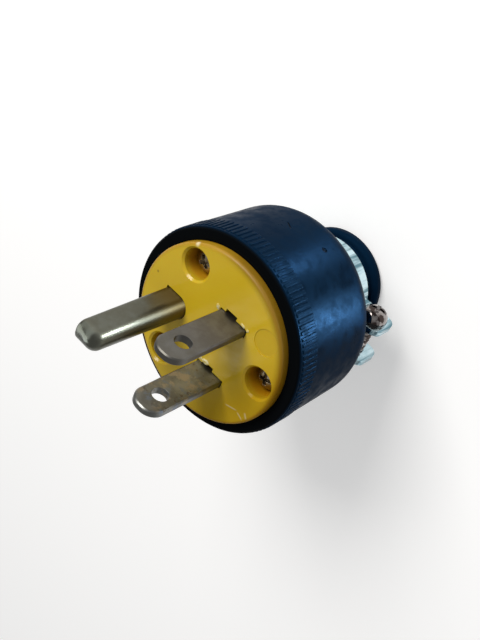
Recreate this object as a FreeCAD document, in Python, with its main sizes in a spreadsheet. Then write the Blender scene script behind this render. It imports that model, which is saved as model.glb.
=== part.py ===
import FreeCAD, Part
import math
import os

import Sketcher

# Rewirable type B plug with an outside cord clamp, standing on its rear lip with the prongs up.
# The origin is the centre of the rear lip's end face. +Z runs out of the face along the prongs,
# +Y points from the blades to the ground pin and +X to the line blade. Sizes are in millimetres.

SIZES = {
    # Overall
    "face_height": 41.0,
    # Body shell, outside
    "lip_reach": 1.85,
    "lip_thickness": 2.6,
    "lip_round": 1.0,
    "neck_radius": 8.95,
    "neck_length": 12.8,
    "root_chamfer": 0.5,
    "shoulder_round": 5.0,
    "body_taper": 0.25,
    "ring_width": 2.4,
    "ring_drop": 1.75,
    "ring_chamfer": 0.4,
    # Ribs of the grip band
    "rib_count": 116,
    "rib_width": 0.55,
    "rib_height": 0.15,
    "rib_length": 4.9,
    "rib_setback": 0.4,
    "rib_end_slope": 0.5,
    "rib_sink": 0.5,
    "band_margin": 0.3,
    # Body shell, inside
    "cord_bore_radius": 5.5,
    "cord_mouth_chamfer": 0.7,
    "rear_wall": 2.6,
    "ledge_width": 1.1,
    "cavity_chamfer": 1.5,
    "boss_radius": 3.5,
    # Face plate
    "plate_radius": 16.9,
    "plate_thickness": 7.0,
    "plate_edge_round": 0.6,
    "recess_radius": 2.95,
    "recess_depth": 4.1,
    "recess_mouth_chamfer": 0.4,
    "notch_width": 2.6,
    "notch_reach": 0.8,
    "notch_depth": 1.5,
    "notch_shift": 0.8,
    "mould_mark_radius": 2.5,
    "mould_mark_depth": 0.12,
    "mould_mark_inset": 3.2,
    "mould_mark_angle": -53.5,
    # Terminal base
    "base_thickness": 6.0,
    "barrier_height": 4.0,
    "barrier_thickness": 1.0,
    "barrier_offset": 4.1,
    "barrier_half_length": 8.0,
    # Face screws
    "screw_inset": 4.0,
    "upper_screw_angle": 37.0,
    "face_screw_head_radius": 2.6,
    "face_screw_head_height": 1.9,
    "face_screw_head_chamfer": 0.6,
    "face_screw_shank_radius": 1.5,
    "face_screw_grip": 6.5,
    # Blades
    "blade_spacing": 12.7,
    "blade_offset": 3.6,
    "blade_width": 6.35,
    "blade_thickness": 1.52,
    "blade_length": 17.4,
    "blade_corner_round": 2.9,
    "blade_tip_chamfer": 0.25,
    "blade_hole_radius": 1.6,
    "blade_hole_height": 12.5,
    "blade_bend_round": 1.2,
    "tab_corner_round": 1.5,
    # Ground pin
    "ground_offset": 11.9,
    "ground_width": 4.8,
    "ground_leg": 3.2,
    "ground_sheet": 0.9,
    "ground_length": 21.1,
    "ground_tip_width": 4.2,
    "ground_tip_leg": 3.2,
    "ground_nose_round": 1.8,
    "ground_edge_round": 0.6,
    "ground_nose_wall": 2.4,
    "ground_tab_half_width": 3.2,
    "ground_terminal_y": 1.0,
    # Terminal screws
    "tab_inset": 1.8,
    "terminal_margin": 2.9,
    "terminal_head_radius": 2.7,
    "terminal_head_height": 2.0,
    "terminal_head_chamfer": 0.5,
    "terminal_shank_radius": 1.5,
    "terminal_grip": 4.0,
    # Cord clamp
    "strap_rear_gap": 1.9,
    "strap_front_gap": 0.6,
    "strap_sheet": 1.2,
    "ear_offset": 4.0,
    "ear_length": 7.65,
    "ear_width": 7.0,
    "ear_corner_round": 2.2,
    "ear_bend_round": 1.0,
    "ear_screw_inset": 3.55,
    "clamp_head_radius": 2.8,
    "clamp_head_height": 2.1,
    "clamp_head_chamfer": 0.7,
    "clamp_shank_radius": 1.6,
    "clamp_tail": 2.8,
    # Screw drives
    "drive_width": 0.8,
    "drive_half_length": 1.6,
    "drive_depth": 1.1,
    # Clearances
    "seat_clearance": 0.1,
    "slot_clearance": 0.12,
    "hole_clearance": 0.25,
    "thread_clearance": 0.05,
    "strap_clearance": 0.1,
}


class Size:
    """A length that knows both its value and the sheet formula that gives it."""

    def __init__(self, value, formula):
        self.value = value
        self.formula = formula

    def __add__(self, other):
        other = as_size(other)
        return Size(self.value + other.value, f"({self.formula} + {other.formula})")

    def __sub__(self, other):
        other = as_size(other)
        return Size(self.value - other.value, f"({self.formula} - {other.formula})")

    def __mul__(self, other):
        other = as_size(other)
        return Size(self.value * other.value, f"({self.formula} * {other.formula})")

    def __truediv__(self, other):
        other = as_size(other)
        return Size(self.value / other.value, f"({self.formula} / {other.formula})")

    def __neg__(self):
        return Size(-self.value, f"(-1 * {self.formula})")


def as_size(number):
    """A plain number or a Size, as a Size."""
    if isinstance(number, Size):
        return number
    return Size(float(number), str(number))


def square_root(size):
    return Size(math.sqrt(size.value), f"sqrt({size.formula})")


def on_circle(radius, angle):
    """A place on a circle about the middle of the plug, at an angle in degrees from +X."""
    turn = math.radians(angle.value)
    x = Size(radius.value * math.cos(turn), f"({radius.formula} * cos({angle.formula} * 1 deg))")
    y = Size(radius.value * math.sin(turn), f"({radius.formula} * sin({angle.formula} * 1 deg))")
    return x, y


doc = FreeCAD.newDocument("type_b_plug")
sheet = doc.addObject("Spreadsheet::Sheet", "Sizes")
dim = {}
for row, (alias, number) in enumerate(SIZES.items(), start=1):
    sheet.set(f"A{row}", alias)
    sheet.set(f"B{row}", str(number))
    sheet.setAlias(f"B{row}", alias)
    dim[alias] = Size(float(number), f"Sizes.{alias}")
doc.recompute()

ORIGIN = as_size(0)

# Heights that several pieces share
face_z = dim["face_height"]
ring_z = face_z - dim["ring_drop"]
plate_back_z = face_z - dim["plate_thickness"]
ledge_z = plate_back_z - dim["base_thickness"]
back_z = dim["lip_thickness"] + dim["neck_length"]
floor_z = back_z + dim["rear_wall"]
recess_floor_z = face_z - dim["recess_depth"]

# Radii that several pieces share
lip_radius = dim["neck_radius"] + dim["lip_reach"]
seat_radius = dim["plate_radius"] + dim["seat_clearance"]
body_radius = seat_radius + dim["ring_width"]
rear_radius = body_radius - dim["body_taper"]
cavity_radius = seat_radius - dim["ledge_width"]
screw_circle_radius = dim["plate_radius"] - dim["screw_inset"]
strap_inner_radius = dim["neck_radius"] + dim["strap_clearance"]
strap_outer_radius = strap_inner_radius + dim["strap_sheet"]

# Places that several pieces share
blade_x = dim["blade_spacing"] / 2
blade_y = -dim["blade_offset"]
ground_y = dim["ground_offset"] - dim["blade_offset"]
tab_end_x = cavity_radius - dim["tab_inset"]
terminal_x = tab_end_x - dim["terminal_margin"]
upper_screw_x, upper_screw_y = on_circle(screw_circle_radius, dim["upper_screw_angle"])
face_screw_places = [
    (ORIGIN, -screw_circle_radius),
    (upper_screw_x, upper_screw_y),
    (-upper_screw_x, upper_screw_y),
]
face_screw_length = recess_floor_z - ledge_z + dim["face_screw_grip"]
strap_low_z = dim["lip_thickness"] + dim["strap_rear_gap"]
strap_high_z = back_z - dim["strap_front_gap"]
clamp_z = (strap_low_z + strap_high_z) / 2
ear_end_y = strap_outer_radius + dim["ear_length"]
ear_screw_y = ear_end_y - dim["ear_screw_inset"]


# Sketch helpers

def origin_feature(body, role):
    """The origin plane or axis of a body that has this role."""
    return next(item for item in body.Origin.OriginFeatures if item.Role == role)


def new_body(label):
    body = doc.addObject("PartDesign::Body", label)
    body.Label = label
    return body


def sketch_on(body, name, role, offset=ORIGIN):
    """A sketch on one of the body's own origin planes, moved along the plane's normal."""
    sketch = body.newObject("Sketcher::SketchObject", name)
    sketch.AttachmentSupport = [(origin_feature(body, role), "")]
    sketch.MapMode = "FlatFace"
    sketch.setExpression("AttachmentOffset.Base.z", offset.formula)
    return sketch


def hold(sketch, geometry, end, point):
    """Fix one end of a sketch line, or a centre, at a place given by two sizes."""
    for kind, axis_line, size in (("DistanceX", -2, point[0]), ("DistanceY", -1, point[1])):
        if size is ORIGIN:
            sketch.addConstraint(Sketcher.Constraint("PointOnObject", geometry, end, axis_line))
            continue
        constraint = Sketcher.Constraint(kind, -1, 1, geometry, end, size.value)
        index = sketch.addConstraint(constraint)
        sketch.setExpression(f"Constraints[{index}]", size.formula)


def vector(point):
    return FreeCAD.Vector(point[0].value, point[1].value, 0)


def join(sketch, first, second):
    """The end of one sketch curve meets the start of the next."""
    sketch.addConstraint(Sketcher.Constraint("Coincident", first, 2, second, 1))


def polygon(sketch, points):
    """A closed outline of straight lines through the points."""
    lines = []
    for start, stop in zip(points, points[1:] + points[:1]):
        lines.append(sketch.addGeometry(Part.LineSegment(vector(start), vector(stop))))
    for line, following in zip(lines, lines[1:] + lines[:1]):
        join(sketch, line, following)
    for line, point in zip(lines, points):
        hold(sketch, line, 1, point)


def rectangle(sketch, left, right, low, high):
    polygon(sketch, [(left, low), (right, low), (right, high), (left, high)])


def circle(sketch, centre, radius):
    round_line = sketch.addGeometry(
        Part.Circle(vector(centre), FreeCAD.Vector(0, 0, 1), radius.value)
    )
    hold(sketch, round_line, 3, centre)
    index = sketch.addConstraint(Sketcher.Constraint("Radius", round_line, radius.value))
    sketch.setExpression(f"Constraints[{index}]", radius.formula)


def u_outline(sketch, half_width, centre_y, open_y):
    """A U whose round end points to -Y and whose straight end is at open_y."""
    right_top = (half_width, open_y)
    left_top = (-half_width, open_y)
    left_low = (-half_width, centre_y)
    right_low = (half_width, centre_y)
    top = sketch.addGeometry(Part.LineSegment(vector(right_top), vector(left_top)))
    left = sketch.addGeometry(Part.LineSegment(vector(left_top), vector(left_low)))
    full = Part.Circle(vector((ORIGIN, centre_y)), FreeCAD.Vector(0, 0, 1), half_width.value)
    bowl = sketch.addGeometry(Part.ArcOfCircle(full, math.pi, 2 * math.pi))
    right = sketch.addGeometry(Part.LineSegment(vector(right_low), vector(right_top)))
    for first, second in ((top, left), (left, bowl), (bowl, right), (right, top)):
        join(sketch, first, second)
    hold(sketch, top, 1, right_top)
    hold(sketch, left, 1, left_top)
    hold(sketch, left, 2, left_low)
    hold(sketch, right, 1, right_low)
    index = sketch.addConstraint(Sketcher.Constraint("DistanceY", -1, 1, bowl, 3, centre_y.value))
    sketch.setExpression(f"Constraints[{index}]", centre_y.formula)


# Feature helpers

def add_pad(body, sketch, length, downward=False, both_ways=False):
    pad = body.newObject("PartDesign::Pad", sketch.Name + "_pad")
    pad.Profile = sketch
    pad.setExpression("Length", length.formula)
    pad.Reversed = downward
    pad.Midplane = both_ways
    doc.recompute()
    return pad


def add_pocket(body, sketch, depth, upward=False):
    """A cut below the sketch, or above it, that has to take material away."""
    before = body.Shape.Volume
    pocket = body.newObject("PartDesign::Pocket", sketch.Name + "_pocket")
    pocket.Profile = sketch
    pocket.setExpression("Length", depth.formula)
    pocket.Reversed = upward
    doc.recompute()
    if not pocket.Shape.Volume < before:
        raise RuntimeError(f"{pocket.Name} cuts nothing")
    return pocket


def add_loft(body, kind, first, last):
    """A straight-sided loft between two outlines, added to the body or cut from it."""
    loft = body.newObject(f"PartDesign::{kind}Loft", first.Name + "_loft")
    loft.Profile = first
    loft.Sections = [last]
    loft.Ruled = True
    doc.recompute()
    return loft


def add_revolution(body, sketch):
    turned = body.newObject("PartDesign::Revolution", sketch.Name + "_turned")
    turned.Profile = sketch
    turned.ReferenceAxis = (sketch, ["V_Axis"])
    turned.Angle = 360.0
    doc.recompute()
    return turned


def dress_edges(body, kind, name, is_wanted, size):
    """A fillet or chamfer on the edges of the body's tip that pass a test."""
    base = body.Tip
    names = [f"Edge{i}" for i, edge in enumerate(base.Shape.Edges, start=1) if is_wanted(edge)]
    if not names:
        raise RuntimeError(f"{name} finds no edge")
    dressed = body.newObject(f"PartDesign::{kind}", name)
    dressed.Base = (base, names)
    dressed.setExpression("Radius" if kind == "Fillet" else "Size", size.formula)
    doc.recompute()
    return dressed


NEAR = 1e-4


def ring_edge(radius, height):
    """Test for a full circle about Z with this radius, at this height."""
    def is_wanted(edge):
        box = edge.BoundBox
        flat = box.ZLength < NEAR and abs(box.ZMin - height.value) < NEAR
        return flat and abs(box.XMax - radius.value) < NEAR and abs(box.XMin + radius.value) < NEAR
    return is_wanted


def circle_edge(centre, radius, height):
    """Test for a circle of this radius about a vertical axis, at this height."""
    def is_wanted(edge):
        box = edge.BoundBox
        flat = box.ZLength < NEAR and abs(box.ZMin - height.value) < NEAR
        beside = abs(box.Center.x - centre[0].value) < NEAR and abs(box.Center.y - centre[1].value) < NEAR
        return flat and beside and abs(box.XLength - 2 * radius.value) < NEAR
    return is_wanted


def straight_edge(direction, **place):
    """Test for a straight edge along one axis that passes through the given x, y or z values."""
    spans = {"x": "XLength", "y": "YLength", "z": "ZLength"}

    def is_wanted(edge):
        box = edge.BoundBox
        across = [getattr(box, span) for axis, span in spans.items() if axis != direction]
        if max(across) > NEAR:
            return False
        return all(min(abs(getattr(box.Center, axis) - size.value) for size in sizes) < NEAR
                   for axis, sizes in place.items())
    return is_wanted


def put(body, x, y, z):
    """Move a body to a place that follows the sheet."""
    for axis, size in (("x", x), ("y", y), ("z", z)):
        body.setExpression(f"Placement.Base.{axis}", size.formula)


# Body shell: one moulding with a lip, a neck, a round shoulder and a ribbed grip band

def make_body_shell():
    body = new_body("body_shell")
    rib_top_z = ring_z - dim["rib_setback"]
    rib_low_z = rib_top_z - dim["rib_length"]
    band_low_z = rib_low_z - dim["band_margin"]
    section = sketch_on(body, "shell_section", "XZ_Plane")
    polygon(section, [
        (dim["cord_bore_radius"], ORIGIN),
        (lip_radius, ORIGIN),
        (lip_radius, dim["lip_thickness"]),
        (dim["neck_radius"], dim["lip_thickness"]),
        (dim["neck_radius"], back_z),
        (rear_radius, back_z),
        (body_radius, band_low_z),
        (body_radius, ring_z),
        (seat_radius, ring_z),
        (seat_radius, ledge_z),
        (cavity_radius, ledge_z),
        (cavity_radius, floor_z),
        (dim["cord_bore_radius"], floor_z),
    ])
    add_revolution(body, section)
    for name, kind, radius, height, size in (
        ("lip_end_round", "Fillet", lip_radius, ORIGIN, dim["lip_round"]),
        ("lip_top_round", "Fillet", lip_radius, dim["lip_thickness"], dim["lip_round"]),
        ("lip_root", "Chamfer", dim["neck_radius"], dim["lip_thickness"], dim["root_chamfer"]),
        ("neck_root", "Chamfer", dim["neck_radius"], back_z, dim["root_chamfer"]),
        ("shoulder", "Fillet", rear_radius, back_z, dim["shoulder_round"]),
        ("ring_edge", "Chamfer", body_radius, ring_z, dim["ring_chamfer"]),
        ("cord_mouth", "Chamfer", dim["cord_bore_radius"], ORIGIN, dim["cord_mouth_chamfer"]),
        ("cavity_corner", "Chamfer", cavity_radius, floor_z, dim["cavity_chamfer"]),
    ):
        dress_edges(body, kind, name, ring_edge(radius, height), size)

    bosses = sketch_on(body, "bosses", "XY_Plane", floor_z)
    for place in face_screw_places:
        circle(bosses, place, dim["boss_radius"])
    add_pad(body, bosses, ledge_z - floor_z)
    pilots = sketch_on(body, "pilots", "XY_Plane", ledge_z)
    for place in face_screw_places:
        circle(pilots, place, dim["face_screw_shank_radius"] + dim["thread_clearance"])
    add_pocket(body, pilots, dim["face_screw_grip"] + dim["hole_clearance"])

    rib_root = body_radius - dim["rib_sink"]
    rib_crest = body_radius + dim["rib_height"]
    rib = sketch_on(body, "rib", "XZ_Plane")
    polygon(rib, [
        (rib_root, rib_low_z),
        (rib_crest, rib_low_z + dim["rib_end_slope"]),
        (rib_crest, rib_top_z - dim["rib_end_slope"]),
        (rib_root, rib_top_z),
    ])
    rib_pad = add_pad(body, rib, dim["rib_width"], both_ways=True)
    band = body.newObject("PartDesign::PolarPattern", "grip_band")
    band.Originals = [rib_pad]
    band.Axis = (origin_feature(body, "Z_Axis"), [""])
    band.Angle = 360.0
    band.setExpression("Occurrences", dim["rib_count"].formula)
    body.Tip = band
    doc.recompute()
    return body


# Prong openings that the face plate and the terminal base share

def cut_prong_openings(body, top_z, depth):
    clearance = dim["slot_clearance"]
    half_thickness = dim["blade_thickness"] / 2 + clearance
    half_width = dim["blade_width"] / 2 + clearance
    slots = sketch_on(body, body.Name + "_slots", "XY_Plane", top_z)
    for centre_x in (blade_x, -blade_x):
        rectangle(slots, centre_x - half_thickness, centre_x + half_thickness,
                  blade_y - half_width, blade_y + half_width)
    u_outline(slots, dim["ground_width"] / 2 + clearance, ground_y,
              ground_y + dim["ground_leg"] + clearance)
    add_pocket(body, slots, depth)


def cut_face_screw_holes(body, top_z, depth):
    holes = sketch_on(body, body.Name + "_screw_holes", "XY_Plane", top_z)
    for place in face_screw_places:
        circle(holes, place, dim["face_screw_shank_radius"] + dim["hole_clearance"])
    add_pocket(body, holes, depth)


# Face plate: a thick moulded disc with a soft rim and three deep screw recesses

def make_face_plate():
    body = new_body("face_plate")
    disc = sketch_on(body, "plate_disc", "XY_Plane", plate_back_z)
    circle(disc, (ORIGIN, ORIGIN), dim["plate_radius"])
    add_pad(body, disc, dim["plate_thickness"])
    dress_edges(body, "Fillet", "plate_edge", ring_edge(dim["plate_radius"], face_z),
                dim["plate_edge_round"])

    recesses = sketch_on(body, "screw_recesses", "XY_Plane", face_z)
    for place in face_screw_places:
        circle(recesses, place, dim["recess_radius"])
    add_pocket(body, recesses, dim["recess_depth"])
    mouths = [circle_edge(place, dim["recess_radius"], face_z) for place in face_screw_places]
    dress_edges(body, "Chamfer", "recess_mouths", lambda edge: any(test(edge) for test in mouths),
                dim["recess_mouth_chamfer"])
    cut_face_screw_holes(body, recess_floor_z, recess_floor_z - plate_back_z)
    cut_prong_openings(body, face_z, dim["plate_thickness"])

    notches = sketch_on(body, "slot_notches", "XY_Plane", face_z)
    notch_y = blade_y + dim["notch_shift"]
    for centre_x in (blade_x, -blade_x):
        slot_side = centre_x + dim["blade_thickness"] / 2
        rectangle(notches, slot_side, slot_side + dim["notch_reach"],
                  notch_y - dim["notch_width"] / 2, notch_y + dim["notch_width"] / 2)
    add_pocket(body, notches, dim["notch_depth"])

    mark = sketch_on(body, "mould_mark", "XY_Plane", face_z)
    mark_circle_radius = dim["plate_radius"] - dim["mould_mark_inset"]
    circle(mark, on_circle(mark_circle_radius, dim["mould_mark_angle"]), dim["mould_mark_radius"])
    add_pocket(body, mark, dim["mould_mark_depth"])
    return body


# Terminal base: the insulating block behind the face, with barriers between the wires

def make_terminal_base():
    body = new_body("terminal_base")
    disc = sketch_on(body, "base_disc", "XY_Plane", ledge_z)
    circle(disc, (ORIGIN, ORIGIN), dim["plate_radius"])
    add_pad(body, disc, dim["base_thickness"])
    cut_face_screw_holes(body, plate_back_z, dim["base_thickness"])
    cut_prong_openings(body, plate_back_z, dim["base_thickness"])

    screw_wells = sketch_on(body, "terminal_wells", "XY_Plane", ledge_z)
    for place in ((terminal_x, blade_y), (-terminal_x, blade_y), (ORIGIN, dim["ground_terminal_y"])):
        circle(screw_wells, place, dim["terminal_shank_radius"] + dim["hole_clearance"])
    add_pocket(body, screw_wells, dim["terminal_grip"] + dim["hole_clearance"], upward=True)

    barriers = sketch_on(body, "wire_barriers", "XY_Plane", ledge_z)
    barrier_out = dim["barrier_offset"] + dim["barrier_thickness"] / 2
    barrier_in = dim["barrier_offset"] - dim["barrier_thickness"] / 2
    for near, far in ((barrier_in, barrier_out), (-barrier_out, -barrier_in)):
        rectangle(barriers, near, far, -dim["barrier_half_length"], dim["barrier_half_length"])
    add_pad(body, barriers, dim["barrier_height"], downward=True)
    return body


# Flat blade: one strip, with its rear end bent out into the terminal tab

def make_blade(label, side):
    body = new_body(label)
    thickness = dim["blade_thickness"]
    middle_x = blade_x * side
    inner_x = middle_x - thickness / 2 * side
    outer_x = middle_x + thickness / 2 * side
    outer_end_x = tab_end_x * side
    tab_low_z = ledge_z - thickness
    tip_z = face_z + dim["blade_length"]
    strip = sketch_on(body, label + "_strip", "XZ_Plane", dim["blade_offset"])
    polygon(strip, [
        (inner_x, tab_low_z),
        (outer_end_x, tab_low_z),
        (outer_end_x, ledge_z),
        (outer_x, ledge_z),
        (outer_x, tip_z),
        (inner_x, tip_z),
    ])
    add_pad(body, strip, dim["blade_width"], both_ways=True)
    edge_y = [blade_y - dim["blade_width"] / 2, blade_y + dim["blade_width"] / 2]
    dress_edges(body, "Fillet", label + "_bend", straight_edge("y", x=[inner_x], z=[tab_low_z]),
                dim["blade_bend_round"])
    dress_edges(body, "Fillet", label + "_tab_corners", straight_edge("z", x=[outer_end_x], y=edge_y),
                dim["tab_corner_round"])
    dress_edges(body, "Fillet", label + "_tip_corners", straight_edge("x", z=[tip_z], y=edge_y),
                dim["blade_corner_round"])
    round_start_z = (tip_z - dim["blade_corner_round"]).value

    def on_tip_outline(edge):
        return edge.BoundBox.ZMin > round_start_z - NEAR and edge.BoundBox.XLength < NEAR

    dress_edges(body, "Chamfer", label + "_tip_edges", on_tip_outline, dim["blade_tip_chamfer"])

    hole = sketch_on(body, label + "_hole", "YZ_Plane", middle_x + thickness)
    circle(hole, (blade_y, face_z + dim["blade_hole_height"]), dim["blade_hole_radius"])
    add_pocket(body, hole, thickness * 2)
    tab_hole = sketch_on(body, label + "_tab_hole", "XY_Plane", ledge_z)
    circle(tab_hole, (terminal_x * side, blade_y),
           dim["terminal_shank_radius"] + dim["thread_clearance"])
    add_pocket(body, tab_hole, thickness)
    return body


# Ground pin: sheet folded to a U with a closed nose, and a tab bent towards the middle

def make_ground_pin():
    body = new_body("ground_pin")
    sheet_thickness = dim["ground_sheet"]
    half_width = dim["ground_width"] / 2
    open_y = ground_y + dim["ground_leg"]
    tab_low_z = ledge_z - sheet_thickness
    tip_z = face_z + dim["ground_length"]
    tip_half_width = dim["ground_tip_width"] / 2
    tip_open_y = ground_y + dim["ground_tip_leg"]
    stem = sketch_on(body, "pin_stem", "XY_Plane", tab_low_z)
    u_outline(stem, half_width, ground_y, open_y)
    add_pad(body, stem, face_z - tab_low_z)
    root = sketch_on(body, "pin_root", "XY_Plane", face_z)
    u_outline(root, half_width, ground_y, open_y)
    tip = sketch_on(body, "pin_tip", "XY_Plane", tip_z)
    u_outline(tip, tip_half_width, ground_y, tip_open_y)
    add_loft(body, "Additive", root, tip)

    def on_open_side(edge):
        taper = (tip_open_y.value - open_y.value) / (tip_z.value - face_z.value)
        return all(abs(corner.Y - open_y.value - taper * (corner.Z - face_z.value)) < NEAR
                   for corner in edge.Vertexes)

    def on_nose(edge):
        return edge.BoundBox.ZMin > tip_z.value - NEAR and not on_open_side(edge)

    def on_open_rim(edge):
        box = edge.BoundBox
        return box.ZMin > face_z.value - NEAR and box.ZMax > face_z.value + NEAR and on_open_side(edge)

    dress_edges(body, "Fillet", "pin_nose", on_nose, dim["ground_nose_round"])
    dress_edges(body, "Fillet", "pin_open_rim", on_open_rim, dim["ground_edge_round"])
    channel = sketch_on(body, "pin_channel", "XY_Plane", tab_low_z)
    u_outline(channel, half_width - sheet_thickness, ground_y, open_y + sheet_thickness)
    add_pocket(body, channel, face_z - tab_low_z, upward=True)
    channel_root = sketch_on(body, "channel_root", "XY_Plane", face_z)
    u_outline(channel_root, half_width - sheet_thickness, ground_y, open_y + sheet_thickness)
    channel_end = sketch_on(body, "channel_end", "XY_Plane", tip_z - dim["ground_nose_wall"])
    u_outline(channel_end, tip_half_width - sheet_thickness, ground_y, tip_open_y + sheet_thickness)
    add_loft(body, "Subtractive", channel_root, channel_end)

    tab = sketch_on(body, "pin_tab", "XY_Plane", tab_low_z)
    tab_end_y = dim["ground_terminal_y"] - dim["terminal_margin"]
    rectangle(tab, -dim["ground_tab_half_width"], dim["ground_tab_half_width"],
              tab_end_y, ground_y - half_width + sheet_thickness)
    add_pad(body, tab, sheet_thickness)
    dress_edges(body, "Fillet", "pin_tab_corners",
                straight_edge("z", x=[-dim["ground_tab_half_width"], dim["ground_tab_half_width"]],
                              y=[tab_end_y]),
                dim["tab_corner_round"])
    tab_hole = sketch_on(body, "pin_tab_hole", "XY_Plane", ledge_z)
    circle(tab_hole, (ORIGIN, dim["ground_terminal_y"]),
           dim["terminal_shank_radius"] + dim["thread_clearance"])
    add_pocket(body, tab_hole, sheet_thickness)
    return body


# Screws: a turned head and shank, with the head on +Z and its seat at the screw's own origin

def make_screw(label, head_radius, head_height, head_chamfer, shank_radius, shank_length, cross):
    body = new_body(label)
    section = sketch_on(body, label + "_section", "XZ_Plane")
    polygon(section, [
        (ORIGIN, -shank_length),
        (shank_radius, -shank_length),
        (shank_radius, ORIGIN),
        (head_radius, ORIGIN),
        (head_radius, head_height),
        (ORIGIN, head_height),
    ])
    add_revolution(body, section)
    dress_edges(body, "Chamfer", label + "_crown", ring_edge(head_radius, head_height), head_chamfer)
    half_width = dim["drive_width"] / 2
    half_length = dim["drive_half_length"] if cross else head_radius
    bars = [(half_length, half_width)]
    if cross:
        bars.append((half_width, half_length))
    for number, (reach_x, reach_y) in enumerate(bars, start=1):
        drive = sketch_on(body, f"{label}_drive_{number}", "XY_Plane", head_height)
        rectangle(drive, -reach_x, reach_x, -reach_y, reach_y)
        add_pocket(body, drive, dim["drive_depth"])
    return body


def make_terminal_screw(label, x, y, seat_z, tab_thickness):
    screw = make_screw(label, dim["terminal_head_radius"], dim["terminal_head_height"],
                       dim["terminal_head_chamfer"], dim["terminal_shank_radius"],
                       dim["terminal_grip"] + tab_thickness, cross=False)
    screw.Placement.Rotation = FreeCAD.Rotation(FreeCAD.Vector(1, 0, 0), 180)
    put(screw, x, y, seat_z)
    return screw


def make_face_screws():
    screws = []
    for number, (x, y) in enumerate(face_screw_places, start=1):
        screw = make_screw(f"face_screw_{number}", dim["face_screw_head_radius"],
                           dim["face_screw_head_height"], dim["face_screw_head_chamfer"],
                           dim["face_screw_shank_radius"], face_screw_length, cross=True)
        put(screw, x, y, recess_floor_z)
        screws.append(screw)
    return group("face_screws", screws)


def group(label, bodies):
    """Like fasteners in one node, as separate solids."""
    together = doc.addObject("Part::Compound", label)
    together.Label = label
    together.Links = bodies
    return together


# Cord clamp: two bent straps on the neck, drawn together by two screws through their ears

def make_strap(label, side, hole_radius):
    body = new_body(label)
    ear_in_x = dim["ear_offset"] - dim["strap_sheet"] / 2
    ear_out_x = dim["ear_offset"] + dim["strap_sheet"] / 2
    ear_low_z = clamp_z - dim["ear_width"] / 2
    ear_high_z = clamp_z + dim["ear_width"] / 2
    strap_width = strap_high_z - strap_low_z

    hoop = sketch_on(body, label + "_hoop", "XY_Plane", strap_low_z)
    circle(hoop, (ORIGIN, ORIGIN), strap_inner_radius)
    circle(hoop, (ORIGIN, ORIGIN), strap_outer_radius)
    add_pad(body, hoop, strap_width)
    opening = sketch_on(body, label + "_opening", "XY_Plane", strap_low_z)
    reach = strap_outer_radius * 2
    near, far = sorted((-reach * side, ear_in_x * side), key=lambda size: size.value)
    rectangle(opening, near, far, -reach, reach)
    add_pocket(body, opening, strap_width, upward=True)

    ear = sketch_on(body, label + "_ear", "XY_Plane", ear_low_z)
    ear_root_y = square_root(strap_inner_radius * strap_inner_radius - ear_in_x * ear_in_x)
    near, far = sorted((ear_in_x * side, ear_out_x * side), key=lambda size: size.value)
    rectangle(ear, near, far, ear_root_y, ear_end_y)
    ear_pad = add_pad(body, ear, dim["ear_width"])
    ears = body.newObject("PartDesign::Mirrored", label + "_ears")
    ears.Originals = [ear_pad]
    ears.MirrorPlane = (origin_feature(body, "XZ_Plane"), [""])
    body.Tip = ears
    doc.recompute()

    bend_y = square_root(strap_outer_radius * strap_outer_radius - ear_out_x * ear_out_x)
    dress_edges(body, "Fillet", label + "_bends",
                straight_edge("z", x=[ear_out_x * side], y=[-bend_y, bend_y]), dim["ear_bend_round"])
    dress_edges(body, "Fillet", label + "_ear_corners",
                straight_edge("x", y=[-ear_end_y, ear_end_y], z=[ear_low_z, ear_high_z]),
                dim["ear_corner_round"])
    holes = sketch_on(body, label + "_holes", "YZ_Plane", dim["ear_offset"] * side + dim["strap_sheet"])
    for screw_y in (ear_screw_y, -ear_screw_y):
        circle(holes, (screw_y, clamp_z), hole_radius)
    add_pocket(body, holes, dim["strap_sheet"] * 2)
    return body


def make_clamp_screws():
    seat_x = dim["ear_offset"] + dim["strap_sheet"] / 2
    length = dim["ear_offset"] * 2 + dim["strap_sheet"] + dim["clamp_tail"]
    screws = []
    for number, y in enumerate((-ear_screw_y, ear_screw_y), start=1):
        screw = make_screw(f"clamp_screw_{number}", dim["clamp_head_radius"], dim["clamp_head_height"],
                           dim["clamp_head_chamfer"], dim["clamp_shank_radius"], length, cross=True)
        screw.Placement.Rotation = FreeCAD.Rotation(FreeCAD.Vector(0, 1, 0), 90)
        put(screw, seat_x, y, clamp_z)
        screws.append(screw)
    return group("clamp_screws", screws)


blade_seat_z = ledge_z - dim["blade_thickness"]
ground_seat_z = ledge_z - dim["ground_sheet"]
subparts = [
    make_body_shell(),
    make_face_plate(),
    make_terminal_base(),
    make_blade("line_blade", 1),
    make_blade("neutral_blade", -1),
    make_ground_pin(),
    make_terminal_screw("line_terminal_screw", terminal_x, blade_y, blade_seat_z, dim["blade_thickness"]),
    make_terminal_screw("neutral_terminal_screw", -terminal_x, blade_y, blade_seat_z,
                        dim["blade_thickness"]),
    make_terminal_screw("ground_terminal_screw", ORIGIN, dim["ground_terminal_y"], ground_seat_z,
                        dim["ground_sheet"]),
    make_face_screws(),
    make_strap("clamp_upper_strap", 1, dim["clamp_shank_radius"] + dim["hole_clearance"]),
    make_strap("clamp_lower_strap", -1, dim["clamp_shank_radius"] + dim["thread_clearance"]),
    make_clamp_screws(),
]
doc.recompute()

for item in doc.Objects:
    if "Invalid" in item.State or "Error" in item.State:
        raise RuntimeError(f"{item.Name} failed: {item.State}")
for subpart in subparts:
    if subpart.Shape.isNull() or not subpart.Shape.isValid():
        raise RuntimeError(f"{subpart.Label} has no valid shape")

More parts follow.
